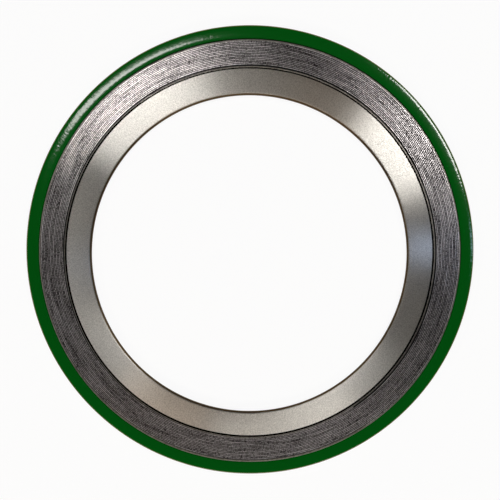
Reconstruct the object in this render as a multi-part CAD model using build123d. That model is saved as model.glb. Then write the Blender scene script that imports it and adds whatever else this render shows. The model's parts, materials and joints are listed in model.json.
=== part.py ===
from build123d import *
import math
import os

# Spiral wound flange gasket with a centering ring and an inner ring. Millimetres.
# It lies flat: Z runs along the bore axis, and Z = 0 is the lower sealing face.

# The bore, and from it outwards the radial width of each of the three bands
bore_diameter = 157.2
inner_ring_width = 12.7
winding_width = 13.5
centering_ring_width = 6.35

# Thicknesses along Z, with the two rings centred in the winding's
winding_thickness = 4.5
ring_thickness = 3.0

# The metal strip and the filler strip in the winding
chevron_depth = 1.0  # how far the point of the V stands out beyond the strip's edges
strip_thickness = 0.2
filler_thickness = 0.6
inner_plies = 4  # metal plies without filler, where the winding starts
outer_plies = 6  # metal plies without filler, where it ends
groove_depth = 0.12  # how deep the filler lies below the metal edges beside it
edge_set_back = 0.03  # how far those edges lie below the plies without filler
filler_start_azimuth = 132.0  # degrees from +X

# The edges of the two rings
lip_gap = 0.2  # between a ring's flat face and the winding
lip_depth = 0.4  # height of the bevel that leads from a ring's flat face down to the V
nose_land = 0.4  # height of the flat on the tip of the inner ring's V nose
rim_break = 0.3  # bevel on the centering ring's outer edges
bore_break = 0.15  # bevel on the inner ring's bore edges

pitch = strip_thickness + filler_thickness
bore_radius = bore_diameter / 2
winding_inner_radius = bore_radius + inner_ring_width
winding_outer_radius = winding_inner_radius + winding_width
rim_radius = winding_outer_radius + centering_ring_width
middle = winding_thickness / 2
ring_bottom = middle - ring_thickness / 2
lip_height = ring_bottom + lip_depth


def chevron_radius(edge_radius, height):
    """Radius, at a height, of the V surface whose edges have this radius."""
    return edge_radius + chevron_depth * (1 - abs(height - middle) / middle)


def flipped(outline):
    """The outline turned over about the middle plane, with its points in reverse order."""
    return [(radius, winding_thickness - height) for radius, height in reversed(outline)]


def turned(outline, arc=360, centre=0):
    """Solid turned about the upright axis at x = centre from (radius, height) points."""
    points = [(centre + radius, 0, height) for radius, height in outline]
    face = make_face(Polyline(*points, close=True))
    return revolve(face, axis=Axis((centre, 0, 0), (0, 0, 1)), revolution_arc=arc)


def winding_body():
    """The whole roll as a ring of V section, with plain faces."""
    lower = [
        (winding_inner_radius, 0),
        (winding_outer_radius, 0),
        (chevron_radius(winding_outer_radius, middle), middle),
    ]
    upper = [
        (winding_outer_radius, winding_thickness),
        (winding_inner_radius, winding_thickness),
        (chevron_radius(winding_inner_radius, middle), middle),
    ]
    return turned(lower + upper)


def groove_outline(first_radius, turns):
    """Teeth that cut the upper face: deepest beside each metal edge, then sloping up."""
    edge_height = winding_thickness - edge_set_back
    above = winding_thickness + pitch
    outline = [(first_radius, above)]
    for turn in range(turns):
        radius = first_radius + turn * pitch
        outline.append((radius, edge_height))
        outline.append((radius + strip_thickness, edge_height - groove_depth))
    last_radius = first_radius + turns * pitch
    outline.append((last_radius, edge_height))
    outline.append((last_radius, above))
    return outline


def spiral_groove(inner_radius, outer_radius):
    """Cutter for the filler's groove in the upper face, as one spiral between two radii.

    Each half turn is an arc, about one of two centres half a pitch apart.
    """
    turns = math.ceil((outer_radius - inner_radius) / pitch) + 2
    first_radius = inner_radius - pitch
    first_half = turned(groove_outline(first_radius, turns), 180, -pitch / 4)
    second_half = turned(groove_outline(first_radius + pitch / 2, turns), 180, -pitch / 4)
    spiral = first_half + Rot(0, 0, 180) * second_half
    filled = [
        (inner_radius, middle),
        (outer_radius, middle),
        (outer_radius, winding_thickness + pitch),
        (inner_radius, winding_thickness + pitch),
    ]
    return Rot(0, 0, filler_start_azimuth) * (spiral & turned(filled))


def spiral_winding():
    """The wound metal strip with its filler, as one roll with its turns in the upper face."""
    groove = spiral_groove(
        winding_inner_radius + inner_plies * strip_thickness,
        winding_outer_radius - outer_plies * strip_thickness,
    )
    return winding_body() - groove


def centering_ring():
    """Flat outer ring whose V groove holds the winding's outer edge."""
    groove_root = (chevron_radius(winding_outer_radius, middle), middle)
    lower = [
        (chevron_radius(winding_outer_radius, lip_height), lip_height),
        (chevron_radius(winding_outer_radius, ring_bottom) + lip_gap, ring_bottom),
        (rim_radius - rim_break, ring_bottom),
        (rim_radius, ring_bottom + rim_break),
    ]
    return turned([groove_root] + lower + flipped(lower))


def inner_ring():
    """Flat inner ring whose V nose fills the hollow of the winding's inner edge."""
    land_height = middle - nose_land / 2
    lower = [
        (bore_radius, ring_bottom + bore_break),
        (bore_radius + bore_break, ring_bottom),
        (winding_inner_radius - lip_gap, ring_bottom),
        (chevron_radius(winding_inner_radius, lip_height), lip_height),
        (chevron_radius(winding_inner_radius, land_height), land_height),
    ]
    return turned(lower + flipped(lower))


nodes = {
    "centering_ring": centering_ring(),
    "spiral_winding": spiral_winding(),
    "inner_ring": inner_ring(),
}

os.makedirs("parts", exist_ok=True)
for name, solid in nodes.items():
    export_step(solid, f"parts/{name}.step")
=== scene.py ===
import json
import math

import bpy
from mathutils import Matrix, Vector


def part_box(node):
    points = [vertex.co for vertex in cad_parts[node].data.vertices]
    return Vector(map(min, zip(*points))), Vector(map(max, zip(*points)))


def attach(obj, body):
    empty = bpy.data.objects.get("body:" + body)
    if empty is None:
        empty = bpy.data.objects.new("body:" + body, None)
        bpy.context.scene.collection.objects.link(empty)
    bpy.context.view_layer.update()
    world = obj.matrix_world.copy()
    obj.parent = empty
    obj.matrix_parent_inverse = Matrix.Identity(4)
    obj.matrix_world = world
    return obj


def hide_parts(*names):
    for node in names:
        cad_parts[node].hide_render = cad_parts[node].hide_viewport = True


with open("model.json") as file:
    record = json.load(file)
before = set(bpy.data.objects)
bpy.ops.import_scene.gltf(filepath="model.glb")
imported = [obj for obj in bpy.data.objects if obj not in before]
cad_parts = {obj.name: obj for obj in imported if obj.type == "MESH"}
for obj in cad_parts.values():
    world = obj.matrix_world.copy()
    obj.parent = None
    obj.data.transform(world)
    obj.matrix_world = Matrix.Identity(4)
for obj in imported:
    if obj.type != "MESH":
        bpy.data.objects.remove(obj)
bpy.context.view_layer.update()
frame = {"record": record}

# A spiral wound flange gasket, flat on a pale floor, seen from above.
mm = 0.001
tolerance = 0.01 * mm  # corners nearer than this to a line or a level are taken to lie on it
fineTolerance = 0.001 * mm


def sizesFromFrame():
    sizes = {mount["name"]: mount for mount in frame["record"]["mounts"]}
    ringLow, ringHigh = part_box("inner_ring")
    windingLow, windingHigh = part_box("spiral_winding")
    return {
        "bore": sizes["bore"]["dims"]["r_mm"] * mm,
        "rim": sizes["rim"]["dims"]["r_mm"] * mm,
        "ringLow": ringLow.z,
        "ringHigh": ringHigh.z,
        "low": windingLow.z,
        "high": windingHigh.z,
    }


cad = sizesFromFrame()


# Modelling helpers

def deselectAll():
    if bpy.context.mode != "OBJECT":
        bpy.ops.object.mode_set(mode="OBJECT")
    bpy.ops.object.select_all(action="DESELECT")


def pick(piece, test):
    # selects the corners of a piece that pass a test on their place
    bpy.ops.object.mode_set(mode="EDIT")
    bpy.ops.mesh.select_mode(type="VERT")
    bpy.ops.mesh.select_all(action="DESELECT")
    bpy.ops.object.mode_set(mode="OBJECT")
    for vertex in piece.data.vertices:
        vertex.select = test(vertex.co)
    bpy.ops.object.mode_set(mode="EDIT")


def addSection(name, inner, outer, low, high):
    # an upright rectangle over the X axis, ready to be shaped and spun round Z
    deselectAll()
    middle = ((inner + outer) / 2, 0, (low + high) / 2)
    bpy.ops.mesh.primitive_plane_add(size=1, location=middle, rotation=(math.pi / 2, 0, 0))
    piece = bpy.context.object
    piece.name = name
    piece.scale = (outer - inner, high - low, 1)
    bpy.ops.object.transform_apply(location=True, rotation=True, scale=True)
    return piece


def pushChevron(piece, depth):
    # cuts both upright sides at half height, joins the halves again and pushes the cut outwards
    middle = (cad["low"] + cad["high"]) / 2
    bpy.ops.object.mode_set(mode="EDIT")
    bpy.ops.mesh.select_mode(type="EDGE")
    bpy.ops.mesh.select_all(action="DESELECT")
    bpy.ops.object.mode_set(mode="OBJECT")
    corners = piece.data.vertices
    for edge in piece.data.edges:
        start, end = (corners[i].co for i in edge.vertices)
        edge.select = abs(start.x - end.x) < tolerance
    bpy.ops.object.mode_set(mode="EDIT")
    bpy.ops.mesh.subdivide(number_cuts=1)
    pick(piece, lambda place: abs(place.z - middle) < tolerance)
    bpy.ops.transform.translate(value=(depth, 0, 0))


def tidyMesh(piece, angle=30):
    bpy.ops.object.mode_set(mode="EDIT")
    bpy.ops.mesh.select_all(action="SELECT")
    bpy.ops.mesh.remove_doubles(threshold=fineTolerance / 2)
    bpy.ops.mesh.normals_make_consistent(inside=False)
    bpy.ops.object.mode_set(mode="OBJECT")
    bpy.ops.object.shade_smooth_by_angle(angle=math.radians(angle))
    deselectAll()


# The wound strips. One steel strip runs through the whole winding. The graphite strip lies
# between its turns, from just after the first plies to just before the last ones.
winding = {
    "innerEdge": 91.45 * mm,  # at both faces, where the V is not yet pushed outwards
    "outerEdge": 104.4 * mm,
    "chevron": 1.0 * mm,  # how far the point of the V stands out
    "strip": 0.2 * mm,  # thickness of the steel
    "plyGap": 0.03 * mm,  # between plies that lie bare on each other
    "startAzimuth": 125.0,
    "innerHalves": 2,  # bare half turns before the graphite
    "openHalves": 1,  # spaced half turns that the graphite leaves empty
    "spacedTurns": 16,
    "outerHalves": 4,
    "stripBelowFiller": 0.14 * mm,
    "edgeBreak": 0.04 * mm,
    "fillerRound": 0.15 * mm,
    "stepsPerHalf": 120,
}


def windingHalves():
    # each half turn of the steel strip, with its radius, its centre on X and the side it lies on:
    # bare plies first and last, evenly spaced turns between them
    plain = (winding["strip"] + winding["plyGap"]) / 2
    inner, outer = winding["innerHalves"], winding["outerHalves"]
    room = winding["outerEdge"] - winding["innerEdge"] - winding["strip"] - plain * (inner + outer)
    spaced = room / (2 * winding["spacedTurns"])
    halves = []
    radius, centre, side = winding["innerEdge"], -spaced / 2, 1
    for step in [plain] * inner + [spaced] * 2 * winding["spacedTurns"] + [plain] * outer:
        halves.append({"radius": radius, "centre": centre, "side": side})
        radius += step
        centre += step * side
        side = -side
    return halves, spaced


def addStripSection(width, low, high, edgeBreak):
    # the outline of a strip's V section, standing on the X axis at the first ply's radius
    inner = winding["innerEdge"]
    section = addSection("stripSection", inner, inner + width, low, high)
    pushChevron(section, winding["chevron"])
    bpy.ops.mesh.dissolve_edges(use_verts=False)  # the edge that joins the two points of the V
    pick(section, lambda place: place.z < low + tolerance or place.z > high - tolerance)
    bpy.ops.mesh.bevel(offset=edgeBreak, affect="VERTICES")
    bpy.ops.mesh.select_all(action="SELECT")
    bpy.ops.mesh.delete(type="ONLY_FACE")
    bpy.ops.object.mode_set(mode="OBJECT")
    return section


def spinHalf(section, radius, centre, side):
    deselectAll()
    half = section.copy()
    half.data = section.data.copy()
    bpy.context.collection.objects.link(half)
    half.select_set(True)
    bpy.context.view_layer.objects.active = half
    half.location.x = radius - winding["innerEdge"]
    bpy.ops.object.transform_apply(location=True, rotation=True, scale=True)
    bpy.ops.object.mode_set(mode="EDIT")
    bpy.ops.mesh.select_all(action="SELECT")
    bpy.ops.mesh.spin(steps=winding["stepsPerHalf"], angle=math.pi, center=(0, 0, 0), axis=(0, 0, 1))
    bpy.ops.object.mode_set(mode="OBJECT")
    half.location.x = centre
    half.rotation_euler.z = 0 if side > 0 else math.pi
    return half


def joinHalves(name, section, halves):
    # the half turns become one strip, turned to its start and closed at both ends
    deselectAll()
    for half in halves:
        half.select_set(True)
    strip = halves[0]
    bpy.context.view_layer.objects.active = strip
    bpy.ops.object.join()
    strip.name = name
    bpy.ops.object.transform_apply(location=True, rotation=True, scale=True)
    strip.rotation_euler.z = math.radians(winding["startAzimuth"])
    bpy.ops.object.transform_apply(location=True, rotation=True, scale=True)
    bpy.data.objects.remove(section)
    bpy.ops.object.mode_set(mode="EDIT")
    bpy.ops.mesh.select_all(action="SELECT")
    bpy.ops.mesh.remove_doubles(threshold=fineTolerance)
    bpy.ops.mesh.fill_holes(sides=12)
    tidyMesh(strip)
    return strip


def addMetalStrip():
    below = winding["stripBelowFiller"]
    section = addStripSection(
        winding["strip"], cad["low"] + below, cad["high"] - below, winding["edgeBreak"]
    )
    spun = [spinHalf(section, **half) for half in windingHalves()[0]]
    return joinHalves("metalStrip", section, spun)


def addFillerStrip():
    # the filler starts a little after the spaced turns and stands a little proud of the steel
    halves, spaced = windingHalves()
    width = 2 * spaced - winding["strip"]
    section = addStripSection(width, cad["low"], cad["high"], winding["fillerRound"])
    first = winding["innerHalves"] + winding["openHalves"]
    last = winding["innerHalves"] + 2 * winding["spacedTurns"] - 1
    spun = []
    for half in halves[first:last]:
        spun.append(spinHalf(section, half["radius"] + winding["strip"], half["centre"], half["side"]))
    return joinHalves("graphiteStrip", section, spun)


metalStrip = addMetalStrip()
graphiteStrip = addFillerStrip()
for strip in (metalStrip, graphiteStrip):
    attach(strip, "root")
    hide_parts("spiral_winding")
print("strips wound:", len(metalStrip.data.polygons), len(graphiteStrip.data.polygons))


# The two rings, each turned from a rectangle

def chevronRadius(edge, height):
    middle = (cad["low"] + cad["high"]) / 2
    return edge + winding["chevron"] * (1 - abs(height - middle) / (middle - cad["low"]))


def shapeSide(piece, radius, corners):
    # cuts the upright side at a radius once for each corner, then moves the cuts to the corners
    bpy.ops.object.mode_set(mode="EDIT")
    bpy.ops.mesh.select_mode(type="EDGE")
    bpy.ops.mesh.select_all(action="DESELECT")
    bpy.ops.object.mode_set(mode="OBJECT")
    places = piece.data.vertices
    for edge in piece.data.edges:
        edge.select = all(abs(places[i].co.x - radius) < tolerance for i in edge.vertices)
    ends = {i for edge in piece.data.edges if edge.select for i in edge.vertices}
    bpy.ops.object.mode_set(mode="EDIT")
    bpy.ops.mesh.subdivide(number_cuts=len(corners))
    bpy.ops.object.mode_set(mode="OBJECT")
    side = [v for v in piece.data.vertices if abs(v.co.x - radius) < tolerance]
    cuts = [v for v in side if v.index not in ends]
    order = [v.index for v in sorted(cuts, key=lambda v: v.co.z)]
    for index, (cornerRadius, cornerHeight) in zip(order, corners):
        place = piece.data.vertices[index].co.copy()
        pick(piece, lambda other: (other - place).length < fineTolerance)
        bpy.ops.transform.translate(value=(cornerRadius - place.x, 0, cornerHeight - place.z))
        bpy.ops.object.mode_set(mode="OBJECT")


def roundCorners(piece, radius, amount, segments):
    pick(piece, lambda place: abs(place.x - radius) < tolerance)
    bpy.ops.mesh.bevel(offset=amount, segments=segments, affect="VERTICES")
    bpy.ops.object.mode_set(mode="OBJECT")


def spinRing(piece, steps):
    bpy.ops.object.mode_set(mode="EDIT")
    bpy.ops.mesh.select_all(action="SELECT")
    bpy.ops.mesh.delete(type="ONLY_FACE")
    bpy.ops.mesh.select_all(action="SELECT")
    bpy.ops.mesh.spin(steps=steps, angle=2 * math.pi, center=(0, 0, 0), axis=(0, 0, 1))
    tidyMesh(piece, angle=25)
    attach(piece, "root")


# The inner ring: rounded at the bore, with two lips and a blunt V nose on its outer edge
innerRingSizes = {
    "lipGap": 0.65 * mm,  # from the lips to the first ply
    "lipDepth": 1.0 * mm,
    "lipFlare": 0.06 * mm,
    "lipFlareHeight": 0.1 * mm,
    "noseSlack": 0.2 * mm,  # between the nose and the first ply
    "noseLand": 0.4 * mm,
    "boreRound": 1.3 * mm,
    "boreRoundCuts": 6,
    "steps": 360,
}


def addInnerRing():
    sizes = innerRingSizes
    low, high = cad["ringLow"], cad["ringHigh"]
    middle = (low + high) / 2
    face = winding["innerEdge"] - sizes["lipGap"]
    lipLow, lipHigh = low + sizes["lipDepth"], high - sizes["lipDepth"]
    heights = [lipLow, middle - sizes["noseLand"] / 2, middle + sizes["noseLand"] / 2, lipHigh]
    noseEdge = winding["innerEdge"] - sizes["noseSlack"]
    nose = [(chevronRadius(noseEdge, height), height) for height in heights]
    lowerLip = [(face + sizes["lipFlare"], lipLow - sizes["lipFlareHeight"])]
    upperLip = [(face + sizes["lipFlare"], lipHigh + sizes["lipFlareHeight"])]
    piece = addSection("innerRing", cad["bore"], face, low, high)
    shapeSide(piece, face, lowerLip + nose + upperLip)
    roundCorners(piece, cad["bore"], sizes["boreRound"], sizes["boreRoundCuts"])
    spinRing(piece, sizes["steps"])
    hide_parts("inner_ring")
    return piece


# The centering ring: a V groove in its bore, rounded corners and paint that crowns on both faces
centeringRingSizes = {
    "lipGap": 0.2 * mm,  # from the lips to the winding
    "lipDepth": 1.0 * mm,
    "grooveSlack": 0.2 * mm,
    "rimRound": 0.25 * mm,
    "rimRoundCuts": 4,
    "paintCrown": 0.2 * mm,
    "crownCuts": 9,
    "crownPower": 3,  # flat over most of the face, falling off at its edges
    "steps": 360,
}


def crownFaces(piece, low, high):
    # cuts the two level sides of a section, one by one, and lowers the cuts towards both ends
    sizes = centeringRingSizes
    inner = min(vertex.co.x for vertex in piece.data.vertices)
    outer = max(vertex.co.x for vertex in piece.data.vertices)
    half = (outer - inner) / 2
    for level, way in ((high, -1), (low, 1)):
        pick(piece, lambda place: abs(place.z - level) < fineTolerance)
        bpy.ops.mesh.subdivide(number_cuts=sizes["crownCuts"])
        bpy.ops.object.mode_set(mode="OBJECT")
        cuts = [v.co.copy() for v in piece.data.vertices if abs(v.co.z - level) < fineTolerance]
        for cut in sorted(cuts, key=lambda place: place.x):
            across = (cut.x - inner - half) / half
            pick(piece, lambda place: (place - cut).length < fineTolerance)
            drop = sizes["paintCrown"] * abs(across) ** sizes["crownPower"]
            bpy.ops.transform.translate(value=(0, 0, way * drop))
            bpy.ops.object.mode_set(mode="OBJECT")


def addCenteringRing():
    sizes = centeringRingSizes
    low, high = cad["ringLow"], cad["ringHigh"]
    middle = (low + high) / 2
    edge = winding["outerEdge"]
    face = chevronRadius(edge, low) + sizes["lipGap"]
    heights = [low + sizes["lipDepth"], middle, high - sizes["lipDepth"]]
    groove = [(chevronRadius(edge + sizes["grooveSlack"], height), height) for height in heights]
    piece = addSection("centeringRing", face, cad["rim"], low, high)
    crownFaces(piece, low, high)
    shapeSide(piece, face, groove)
    roundCorners(piece, cad["rim"], sizes["rimRound"], sizes["rimRoundCuts"])
    spinRing(piece, sizes["steps"])
    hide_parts("centering_ring")
    return piece


innerRing = addInnerRing()
centeringRing = addCenteringRing()
print("rings turned")


# Materials

def linearColour(hexCode):
    # sRGB hex to linear
    parts = [int(hexCode[i:i + 2], 16) / 255 for i in (1, 3, 5)]
    linear = [c / 12.92 if c <= 0.04045 else ((c + 0.055) / 1.055) ** 2.4 for c in parts]
    return (*linear, 1.0)


def addNode(material, kind, links=None, **settings):
    made = material.node_tree.nodes.new(kind)
    for name, value in settings.items():
        setattr(made, name, value)
    for socket, source in (links or {}).items():
        if isinstance(source, bpy.types.NodeSocket):
            material.node_tree.links.new(source, made.inputs[socket])
        else:
            made.inputs[socket].default_value = source
    return made


def newMaterial(name):
    material = bpy.data.materials.new(name)
    material.use_nodes = True
    material.node_tree.nodes.clear()
    return material


def finishMaterial(material, shader):
    addNode(material, "ShaderNodeOutputMaterial", {"Surface": shader.outputs[0]})
    return material


def flatPlace(material):
    # a point's place without its height, whose length is the distance from the axis
    place = addNode(material, "ShaderNodeTexCoord").outputs["Object"]
    flat = addNode(material, "ShaderNodeVectorMath", {0: place, 1: (1, 1, 0)}, operation="MULTIPLY")
    return flat.outputs[0]


def radiusOf(material):
    length = addNode(material, "ShaderNodeVectorMath", {0: flatPlace(material)}, operation="LENGTH")
    return length.outputs["Value"]


patternRadius = 95 * mm  # where a turned pattern has its stated length round the axis


def turnedPattern(material, arcLength, spacing, detail=2.0):
    # noise drawn out along the turning, by one length round the axis and another across the turns
    around = addNode(
        material, "ShaderNodeVectorMath", {0: flatPlace(material)}, operation="NORMALIZE"
    )
    turns = addNode(
        material, "ShaderNodeVectorMath",
        {0: around.outputs[0], "Scale": patternRadius / arcLength}, operation="SCALE",
    )
    across = addNode(
        material, "ShaderNodeMath", {0: radiusOf(material), 1: 1 / spacing}, operation="MULTIPLY"
    )
    lift = addNode(material, "ShaderNodeCombineXYZ", {"Z": across.outputs[0]})
    where = addNode(material, "ShaderNodeVectorMath", {0: turns.outputs[0], 1: lift.outputs[0]})
    noise = addNode(
        material, "ShaderNodeTexNoise", {"Vector": where.outputs[0], "Scale": 1.0, "Detail": detail}
    )
    return noise.outputs[0]


def blendTones(material, pattern, tones, start=0.3, end=0.7):
    # from the first tone to the second as the pattern goes from start to end
    share = addNode(
        material, "ShaderNodeMapRange", {"Value": pattern, "From Min": start, "From Max": end}
    )
    first, second = (linearColour(tone) if isinstance(tone, str) else tone for tone in tones)
    mix = addNode(
        material, "ShaderNodeMix", {0: share.outputs[0], 6: first, 7: second}, data_type="RGBA"
    )
    return mix.outputs[2]


def depthShare(material, low, high, near, far):
    # 0 down to the depth near below either face of a piece, rising to 1 at the depth far
    place = addNode(material, "ShaderNodeTexCoord").outputs["Object"]
    height = addNode(material, "ShaderNodeSeparateXYZ", {0: place})
    above = addNode(
        material, "ShaderNodeMath", {0: height.outputs["Z"], 1: (low + high) / 2}, operation="SUBTRACT"
    )
    away = addNode(material, "ShaderNodeMath", {0: above.outputs[0]}, operation="ABSOLUTE")
    half = (high - low) / 2
    share = addNode(
        material, "ShaderNodeMapRange",
        {"Value": away.outputs[0], "From Min": half - near, "From Max": half - far},
    )
    return share.outputs[0]


def turnedMetal(material, finish, tone, normal):
    # metal cut or rolled along the turns: it scatters widely across them and little along them
    tangent = addNode(material, "ShaderNodeTangent", direction_type="RADIAL", axis="Z")
    shader = addNode(
        material, "ShaderNodeBsdfPrincipled",
        {
            "Base Color": tone, "Metallic": 1.0, "Roughness": finish["roughness"],
            "Anisotropic": finish["anisotropy"], "Anisotropic Rotation": 0.25,
            "Normal": normal, "Tangent": tangent.outputs[0],
        },
    )
    return finishMaterial(material, shader)


# The faced inner ring. Real facing marks are about 0.1 mm apart: both patterns are drawn two to
# five times as coarse, so that they show.
facing = {
    "tones": ("#CBC8C2", "#F0EDE7"),
    "boreToneAndShade": "#4C3D29",
    # the bore's wall: dark brown, partly as-cut colour and partly painted shade; the gap walls: painted
    # shade, near black
    "ringGapShade": "#161412",
    "shadeDepth": 0.25 * mm,
    "boreZone": 85 * mm,  # inside this radius lies the bore's wall, outside it the gap
    "grain": (0.55 * mm, 0.5 * mm),
    "grainDepth": 0.018 * mm,
    "grooves": (40 * mm, 0.28 * mm),
    "grooveDepth": 0.02 * mm,
    "roughness": 0.35,
    "anisotropy": 1.0,
}


def turnedStainless():
    # 316L stainless steel faced on a lathe: fine rings that fan the light out in bright sectors
    material = newMaterial("turnedStainless316L")
    grain = turnedPattern(material, *facing["grain"], detail=1.0)
    tone = blendTones(material, grain, facing["tones"])
    # the bore's wall is toned dark brown, partly its as-cut colour and partly painted shade; the walls
    # in the gap to the winding are painted near black, as painted shade
    depth = depthShare(material, cad["ringLow"], cad["ringHigh"], 0.0, facing["shadeDepth"])
    outside = addNode(
        material, "ShaderNodeMath", {0: radiusOf(material), 1: facing["boreZone"]},
        operation="GREATER_THAN",
    )
    wallToneAndShade = blendTones(material, outside.outputs[0], (facing["boreToneAndShade"], facing["ringGapShade"]), 0, 1)
    toneWithShade = blendTones(material, depth, (tone, wallToneAndShade), 0, 1)
    grooves = turnedPattern(material, *facing["grooves"], detail=1.0)
    cuts = addNode(
        material, "ShaderNodeBump",
        {"Height": grooves, "Strength": 1.0, "Distance": facing["grooveDepth"]},
    )
    bump = addNode(
        material, "ShaderNodeBump",
        {
            "Height": grain, "Strength": 1.0, "Distance": facing["grainDepth"],
            "Normal": cuts.outputs[0],
        },
    )
    return turnedMetal(material, facing, toneWithShade, bump.outputs[0])


# The edges of the steel strip. Real shear marks are finer than 0.1 mm: the wear is drawn
# coarser, so that it shows.
stripEdge = {
    "tones": ("#716C66", "#C4BFB6"),
    # painted shade: the colour of the recessed steel beside the graphite and down in the gaps
    "recessShade": "#12110F",
    "gapDepth": (0.15 * mm, 0.3 * mm),
    "barePliesInside": 0.55 * mm,
    "barePliesOutside": 0.75 * mm,
    "wear": (1.2 * mm, 0.3 * mm),
    "wearDepth": 0.05 * mm,
    "wearStrength": 0.4,
    "roughness": 0.42,
    "anisotropy": 0.5,
}


def rolledStainless():
    # edges of cold rolled stainless strip: bare plies keep their own tone; beside the graphite and down
    # in the gaps the steel is painted near black, as painted shade of the recessed steel
    material = newMaterial("rolledStainlessEdge")
    wear = turnedPattern(material, *stripEdge["wear"])
    tone = blendTones(material, wear, stripEdge["tones"])
    depth = depthShare(material, cad["low"], cad["high"], *stripEdge["gapDepth"])
    radius = radiusOf(material)
    inside = addNode(
        material, "ShaderNodeMath", {0: radius, 1: winding["outerEdge"]}, operation="LESS_THAN"
    )
    gaps = addNode(
        material, "ShaderNodeMath", {0: inside.outputs[0], 1: depth}, operation="MULTIPLY"
    )
    first = winding["innerEdge"] + stripEdge["barePliesInside"]
    last = winding["outerEdge"] - stripEdge["barePliesOutside"]
    beside = addNode(
        material, "ShaderNodeMath",
        {0: radius, 1: (first + last) / 2, 2: (last - first) / 2}, operation="COMPARE",
    )
    # painted shade: near black beside the graphite and below the faces in the gaps
    dark = addNode(
        material, "ShaderNodeMath", {0: beside.outputs[0], 1: gaps.outputs[0]}, operation="MAXIMUM"
    )
    toneWithShade = blendTones(material, dark.outputs[0], (tone, stripEdge["recessShade"]), 0, 1)
    bump = addNode(
        material, "ShaderNodeBump",
        {"Height": wear, "Strength": stripEdge["wearStrength"], "Distance": stripEdge["wearDepth"]},
    )
    return turnedMetal(material, stripEdge, toneWithShade, bump.outputs[0])


# The graphite. Its flakes are really about 0.3 mm wide: they are drawn twice as coarse.
graphite = {
    "tones": ("#524E4E", "#F2ECED"),
    "toneSpan": (0.34, 0.63),
    "pits": (0.6 * mm, 0.6 * mm),
    "pitDepth": 0.05 * mm,
    "pitStrength": 0.5,
    "strandLength": 25 * mm,
    "strandRadius": 98 * mm,  # middle of the winding, where a strand has that length
    "strandShare": 0.4,
    # painted shade: near black on the filler's rounded edges and flanks below its face
    "graphiteGapShade": "#0C0B0A",
    "gapDepth": (0.02 * mm, 0.12 * mm),
    "roughness": 0.29,
    "anisotropy": 0.45,
}


def strandPattern(material):
    # noise that runs along the wound strip, so that every turn has its own light and dark lengths
    halves, spaced = windingHalves()
    pitch = 2 * spaced
    place = addNode(material, "ShaderNodeTexCoord").outputs["Object"]
    parts = addNode(material, "ShaderNodeSeparateXYZ", {0: place})
    angle = addNode(
        material, "ShaderNodeMath", {0: parts.outputs["Y"], 1: parts.outputs["X"]}, operation="ARCTAN2"
    )
    lap = addNode(material, "ShaderNodeMath", {0: angle.outputs[0], 1: 2 * math.pi}, operation="DIVIDE")
    start = halves[winding["innerHalves"]]["radius"] + (winding["strip"] - spaced) / 2
    beyond = addNode(
        material, "ShaderNodeMath", {0: radiusOf(material), 1: start}, operation="SUBTRACT"
    )
    count = addNode(material, "ShaderNodeMath", {0: beyond.outputs[0], 1: pitch}, operation="DIVIDE")
    turn = addNode(
        material, "ShaderNodeMath", {0: count.outputs[0], 1: lap.outputs[0]}, operation="ADD"
    )
    whole = addNode(
        material, "ShaderNodeMath",
        {0: turn.outputs[0], 1: winding["startAzimuth"] / 360}, operation="SUBTRACT",
    )
    index = addNode(material, "ShaderNodeMath", {0: whole.outputs[0]}, operation="FLOOR")
    run = addNode(
        material, "ShaderNodeMath", {0: index.outputs[0], 1: lap.outputs[0]}, operation="SUBTRACT"
    )
    strandsPerTurn = 2 * math.pi * graphite["strandRadius"] / graphite["strandLength"]
    along = addNode(
        material, "ShaderNodeMath", {0: run.outputs[0], 1: strandsPerTurn}, operation="MULTIPLY"
    )
    noise = addNode(
        material, "ShaderNodeTexNoise", {"W": along.outputs[0], "Scale": 1.0, "Detail": 2.0},
        noise_dimensions="1D",
    )
    return noise.outputs[0]


def smearedGraphite():
    # expanded graphite smeared along the turns: a metallic sheen in streaks, with dark pits, and
    # painted shade just below its face
    material = newMaterial("smearedGraphite")
    pits = turnedPattern(material, *graphite["pits"], detail=1.0)
    mean = addNode(
        material, "ShaderNodeMix",
        {0: graphite["strandShare"], 2: pits, 3: strandPattern(material)},
    )
    tone = blendTones(material, mean.outputs[0], graphite["tones"], *graphite["toneSpan"])
    # painted shade: the filler darkens to near black just below its face, on its rounded edges and in
    # the gaps
    depth = depthShare(material, cad["low"], cad["high"], *graphite["gapDepth"])
    toneWithShade = blendTones(material, depth, (tone, graphite["graphiteGapShade"]), 0, 1)
    bump = addNode(
        material, "ShaderNodeBump",
        {"Height": pits, "Strength": graphite["pitStrength"], "Distance": graphite["pitDepth"]},
    )
    return turnedMetal(material, graphite, toneWithShade, bump.outputs[0])


# The paint. Its ripples are as wide as those of real brushed or dipped enamel, about 1 mm.
enamel = {
    "green": "#005411",
    # an olive line over the rounded corners of the rim
    "rimLine": "#6B7038",
    "rimLineFrom": 0.6 * mm,  # in from the rim
    "rimLineTo": 0.3 * mm,
    "cornerDepth": (0.35 * mm, 0.25 * mm),
    "ripple": (0.9 * mm, 2.4 * mm),
    "rippleDepth": 0.04 * mm,
    "roughness": 0.12,
    "specular": 0.42,
}


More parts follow.
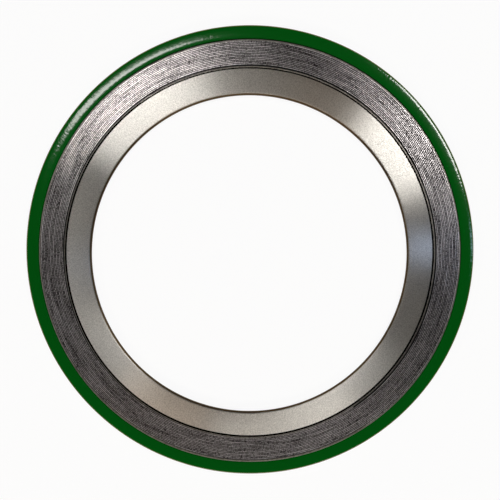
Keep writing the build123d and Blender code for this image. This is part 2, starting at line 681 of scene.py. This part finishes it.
def greenEnamel():
    # gloss enamel run on to the turning ring: deep and wet-looking, with fine ripples across the band
    material = newMaterial("glossGreenEnamel")
    ripple = turnedPattern(material, *enamel["ripple"], detail=1.0)
    bump = addNode(
        material, "ShaderNodeBump",
        {"Height": ripple, "Strength": 1.0, "Distance": enamel["rippleDepth"]},
    )
    # an olive line over the corners of the rim: the deeper of the two depths comes first,
    # so that the share is 1 at the faces
    outside = addNode(
        material, "ShaderNodeMapRange",
        {
            "Value": radiusOf(material),
            "From Min": cad["rim"] - enamel["rimLineFrom"], "From Max": cad["rim"] - enamel["rimLineTo"],
        },
    )
    corner = depthShare(material, cad["ringLow"], cad["ringHigh"], *enamel["cornerDepth"])
    rimLineShare = addNode(
        material, "ShaderNodeMath", {0: outside.outputs[0], 1: corner}, operation="MULTIPLY"
    )
    tone = blendTones(material, rimLineShare.outputs[0], (enamel["green"], enamel["rimLine"]), 0, 1)
    shader = addNode(
        material, "ShaderNodeBsdfPrincipled",
        {
            "Base Color": tone, "Roughness": enamel["roughness"],
            "Specular IOR Level": enamel["specular"], "Normal": bump.outputs[0],
        },
    )
    return finishMaterial(material, shader)


def dress(piece, material):
    piece.data.materials.clear()
    piece.data.materials.append(material)


dress(innerRing, turnedStainless())
dress(centeringRing, greenEnamel())
dress(metalStrip, rolledStainless())
dress(graphiteStrip, smearedGraphite())
print("materials made")


# Floor, light and camera
studio = {
    "floorSize": 4.0,
    "floorGap": 0.02 * mm,  # keeps the floor clear of the winding's lower face
    "floorColour": "#F4F4F4",
    "floorWhite": 0.92,  # share of plain white that the eye and the metal see
    "backdropHeight": 0.7,
    "roomColour": "#2A2622",  # dim room behind the lamps
    "cameraPlace": (6.0 * mm, 4.85 * mm, 300 * mm),
    "cameraAim": (0.7 * mm, -21.85 * mm, 0),
    "lens": 42.84,
    "lensShift": 0.1,
    "lamps": [
        {"name": "softboxLeft", "place": (-0.188, 0.225, 0.60), "turn": 18.0,
         "long": 0.215, "short": 0.068, "power": 0.82, "colour": "#FFFDFA"},
        {"name": "softboxRight", "place": (0.338, 0.243, 0.60), "turn": -58.0,
         "long": 0.22, "short": 0.06, "power": 1.48, "colour": "#FFFDFA"},
        {"name": "windowRight", "place": (0.55, 0.012, 0.60), "turn": -7.0,
         "long": 0.3, "short": 0.04, "power": 0.27, "colour": "#C8DCFF"},
        {"name": "windowLeft", "place": (-0.87, -0.02, 0.60), "turn": 92.0,
         "long": 0.76, "short": 0.25, "power": 2.7, "colour": "#FFFAF4"},
        {"name": "fillLeft", "place": (-0.475, -0.823, 0.60), "turn": -30.0,
         "long": 0.5, "short": 0.4, "power": 3.7, "colour": "#FFEBD8"},
        {"name": "fillNear", "place": (0.156, -0.886, 0.60), "turn": 10.0,
         "long": 0.8, "short": 0.4, "power": 7.2, "colour": "#FFF8F0"},
    ],
}


def addFloor():
    # a wide round tray: the floor, a hair below the part, and a low backdrop all around it
    deselectAll()
    height = studio["backdropHeight"]
    bpy.ops.mesh.primitive_cylinder_add(
        vertices=96, radius=studio["floorSize"] / 2, depth=height,
        location=(0, 0, cad["low"] - studio["floorGap"] + height / 2),
    )
    floor = bpy.context.object
    floor.name = "floor"
    pick(floor, lambda place: place.z > height / 2 - mm)
    bpy.ops.mesh.delete(type="FACE")
    bpy.ops.object.mode_set(mode="OBJECT")
    material = newMaterial("paleFloor")
    matt = addNode(material, "ShaderNodeBsdfDiffuse", {"Color": linearColour(studio["floorColour"])})
    seen = addNode(material, "ShaderNodeEmission", {"Color": (1, 1, 1, 1), "Strength": 1.0})
    ray = addNode(material, "ShaderNodeLightPath")
    direct = addNode(
        material, "ShaderNodeMath", {0: ray.outputs["Is Camera Ray"], 1: ray.outputs["Is Glossy Ray"]},
        operation="MAXIMUM",
    )
    clear = addNode(
        material, "ShaderNodeMath", {0: direct.outputs[0], 1: ray.outputs["Is Transmission Ray"]},
        operation="MAXIMUM",
    )
    share = addNode(
        material, "ShaderNodeMath", {0: clear.outputs[0], 1: studio["floorWhite"]},
        operation="MULTIPLY",
    )
    mix = addNode(
        material, "ShaderNodeMixShader",
        {"Fac": share.outputs[0], 1: matt.outputs[0], 2: seen.outputs[0]},
    )
    floor.data.materials.append(finishMaterial(material, mix))


def addLamp(name, place, turn, long, short, power, colour):
    # a rectangular softbox that hangs level, so that its long side keeps its direction
    deselectAll()
    bpy.ops.object.light_add(type="AREA", location=place, rotation=(0, 0, math.radians(turn)))
    lamp = bpy.context.object
    lamp.name = name
    lamp.data.shape = "RECTANGLE"
    lamp.data.size = long
    lamp.data.size_y = short
    lamp.data.energy = power
    lamp.data.color = linearColour(colour)[:3]


def addCamera():
    lens = bpy.data.cameras.new("camera")
    lens.sensor_width = 36
    lens.lens = studio["lens"]
    lens.shift_y = studio["lensShift"]
    lens.clip_start = 0.01
    camera = bpy.data.objects.new("camera", lens)
    bpy.context.collection.objects.link(camera)
    camera.location = studio["cameraPlace"]
    away = camera.location - Vector(studio["cameraAim"])
    camera.rotation_euler = (-math.atan2(away.y, away.z), math.atan2(away.x, away.z), 0)
    bpy.context.scene.camera = camera


def addWorld():
    world = bpy.data.worlds.new("studio")
    world.use_nodes = True
    background = world.node_tree.nodes["Background"]
    background.inputs["Color"].default_value = linearColour(studio["roomColour"])
    background.inputs["Strength"].default_value = 1.0
    bpy.context.scene.world = world


addFloor()
for lamp in studio["lamps"]:
    addLamp(**lamp)
addCamera()
addWorld()
bpy.context.scene.view_settings.view_transform = "Standard"
print("stage set")
